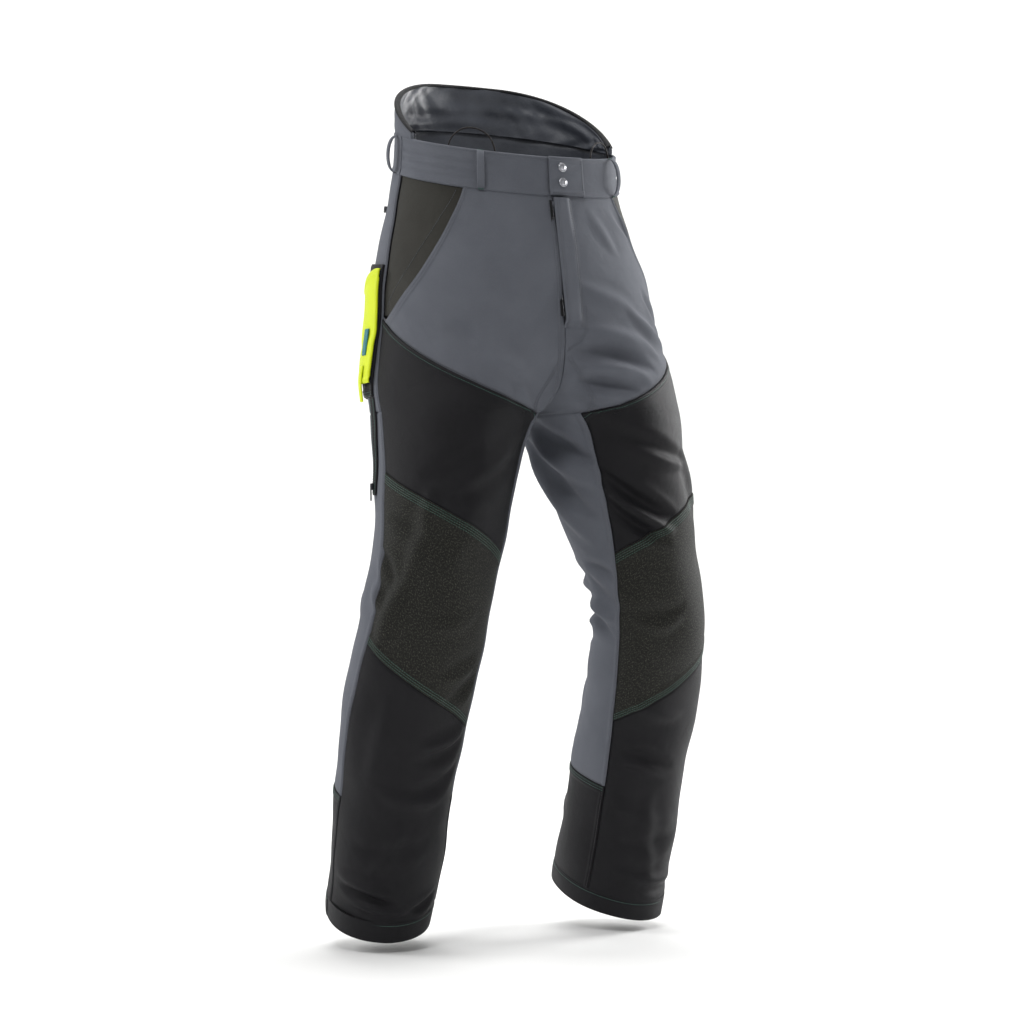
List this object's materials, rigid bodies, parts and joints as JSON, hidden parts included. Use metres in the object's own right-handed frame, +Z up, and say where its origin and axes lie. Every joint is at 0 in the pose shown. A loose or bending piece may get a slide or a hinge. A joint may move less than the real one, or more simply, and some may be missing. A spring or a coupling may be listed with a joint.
{
  "type": "chainsaw protective trousers",
  "caption": "Full-length cut-protection trousers with a raised back, stretch seat and rear legs, black padded fronts, knee patches and a yellow cargo flap.",
  "frame": {"origin": "middle of the waist opening, at the level of the waistband's top edge at the sides", "axes": "+Z up the body, -Y the front, +X the wearer's left"},
  "size_m": [0.5464, 0.3095, 1.1901],
  "materials": {
    "stretch_cloth": "blue-grey four-way stretch softshell, fine plain weave, matt",
    "face_cloth": "black woven polyamide, fine twill, dull sheen",
    "knee_cloth": "coarse abrasion-resistant cloth, olive-black, speckled",
    "facing_cloth": "brown-black coated pocket cloth, slight sheen",
    "hi_vis_cloth": "fluorescent yellow polyester, matt",
    "woven_tab": "blank woven tab, blue-green",
    "lining_cloth": "crinkled satin lining, grey, soft gloss",
    "pocket_lining": "black polyester pocket lining",
    "cut_pad_fleece": "layered cut-protection fibre mat, undyed",
    "elastic_cord": "thin braided elastic cord, dark brown-black",
    "stud_metal": "polished nickel press stud",
    "zip_metal": "nickel-plated zip slider",
    "dark_zip_metal": "black lacquered zip slider",
    "zip_tape": "black zip tape with coil teeth"
  },
  "bodies": {
    "trousers": {"waistband_front_right": "stretch_cloth", "waistband_front_left": "stretch_cloth", "waistband_back": "stretch_cloth", "raised_back_panel": "stretch_cloth", "raised_back_lining": "lining_cloth", "raised_back_binding": "face_cloth", "belt_loops": "stretch_cloth", "waist_cord_right": "elastic_cord", "waist_cord_left": "elastic_cord", "stud_posts": "stud_metal", "fly_placket": "stretch_cloth", "fly_underlay": "stretch_cloth", "fly_zip_chain": "zip_tape", "front_panel_right": "stretch_cloth", "front_panel_left": "stretch_cloth", "seat_panel_right": "stretch_cloth", "seat_panel_left": "stretch_cloth", "hip_pocket_facing_right": "facing_cloth", "hip_pocket_facing_left": "facing_cloth", "hip_pocket_bag_right": "pocket_lining", "hip_pocket_bag_left": "pocket_lining", "thigh_panel_right": "face_cloth", "thigh_panel_left": "face_cloth", "knee_patch_right": "knee_cloth", "knee_patch_left": "knee_cloth", "cut_pad_right": "cut_pad_fleece", "cut_pad_left": "cut_pad_fleece", "back_thigh_panel_right": "stretch_cloth", "back_thigh_panel_left": "stretch_cloth", "back_knee_panel_right": "stretch_cloth", "back_knee_panel_left": "stretch_cloth", "cargo_pocket_right": "face_cloth", "side_pocket_left": "face_cloth", "vent_zip_right": "zip_tape", "vent_zip_left": "zip_tape", "rear_pocket_zip": "zip_tape"},
    "right_shin": {"shin_panel_right": "face_cloth", "back_calf_panel_right": "stretch_cloth", "gaiter_panel_right": "face_cloth", "hem_band_right": "face_cloth"},
    "left_shin": {"shin_panel_left": "face_cloth", "back_calf_panel_left": "stretch_cloth", "gaiter_panel_left": "face_cloth", "hem_band_left": "face_cloth"},
    "fly_slider": {"fly_zip_slider": "zip_metal"},
    "fly_pull": {"fly_zip_pull": "zip_metal"},
    "waist_tab": {"waist_tab": "stretch_cloth", "stud_caps": "stud_metal", "stud_sockets": "stud_metal"},
    "cargo_flap": {"cargo_flap_right": "hi_vis_cloth", "flap_pull_tab": "hi_vis_cloth", "flap_label": "woven_tab"},
    "right_vent_slider": {"vent_slider_right": "dark_zip_metal"},
    "left_vent_slider": {"vent_slider_left": "dark_zip_metal"},
    "right_vent_pull": {"vent_pull_right": "dark_zip_metal"},
    "left_vent_pull": {"vent_pull_left": "dark_zip_metal"},
    "rear_slider": {"rear_pocket_slider": "dark_zip_metal"}
  },
  "joints": [
    {"name": "right_knee", "type": "hinge", "parent": "trousers", "child": "right_shin", "pos_m": [-0.177, -0.092, -0.65], "axis": [0.9659, -0.2588, 0], "range_deg": [0, 60], "deforming": ["knee_patch_right", "back_knee_panel_right", "cut_pad_right"]},
    {"name": "left_knee", "type": "hinge", "parent": "trousers", "child": "left_shin", "pos_m": [0.177, -0.092, -0.65], "axis": [0.9659, 0.2588, 0], "range_deg": [0, 60], "deforming": ["knee_patch_left", "back_knee_panel_left", "cut_pad_left"]},
    {"name": "fly_zip", "type": "slide", "parent": "trousers", "child": "fly_slider", "axis": [0, -0.1982, -0.9802], "range_m": [0, 0.148]},
    {"name": "fly_pull_swing", "type": "hinge", "parent": "fly_slider", "child": "fly_pull", "pos_m": [0, -0.13396, -0.09482], "axis": [0, -0.9802, 0.1982], "range_deg": [-15, 15]},
    {"name": "waist_tab_hinge", "type": "hinge", "parent": "trousers", "child": "waist_tab", "pos_m": [0.05199, -0.12191, -0.05528], "axis": [-0.0196, 0.1131, 0.9934], "range_deg": [0, 100]},
    {"name": "cargo_flap_hinge", "type": "hinge", "parent": "trousers", "child": "cargo_flap", "pos_m": [-0.19693, 0.01875, -0.17936], "axis": [0.2557, 0.9639, 0.0742], "range_deg": [0, 60]},
    {"name": "right_vent_zip", "type": "slide", "parent": "trousers", "child": "right_vent_slider", "axis": [0.0361, 0.1143, 0.9928], "range_m": [0, 0.106]},
    {"name": "left_vent_zip", "type": "slide", "parent": "trousers", "child": "left_vent_slider", "axis": [-0.0361, 0.1143, 0.9928], "range_m": [0, 0.106]},
    {"name": "right_vent_pull_lift", "type": "hinge", "parent": "right_vent_slider", "child": "right_vent_pull", "pos_m": [-0.23579, -0.04741, -0.47573], "axis": [0.2203, 0.9681, -0.1195], "range_deg": [0, 90]},
    {"name": "left_vent_pull_lift", "type": "hinge", "parent": "left_vent_slider", "child": "left_vent_pull", "pos_m": [0.23579, -0.04741, -0.47573], "axis": [0.2203, -0.9681, 0.1195], "range_deg": [0, 90]},
    {"name": "rear_pocket_zip", "type": "hinge", "parent": "trousers", "child": "rear_slider", "pos_m": [-0.02255, -0.03981, -0.11072], "axis": [0.032, 0.1923, -0.9808], "range_deg": [0, 30]}
  ]
}
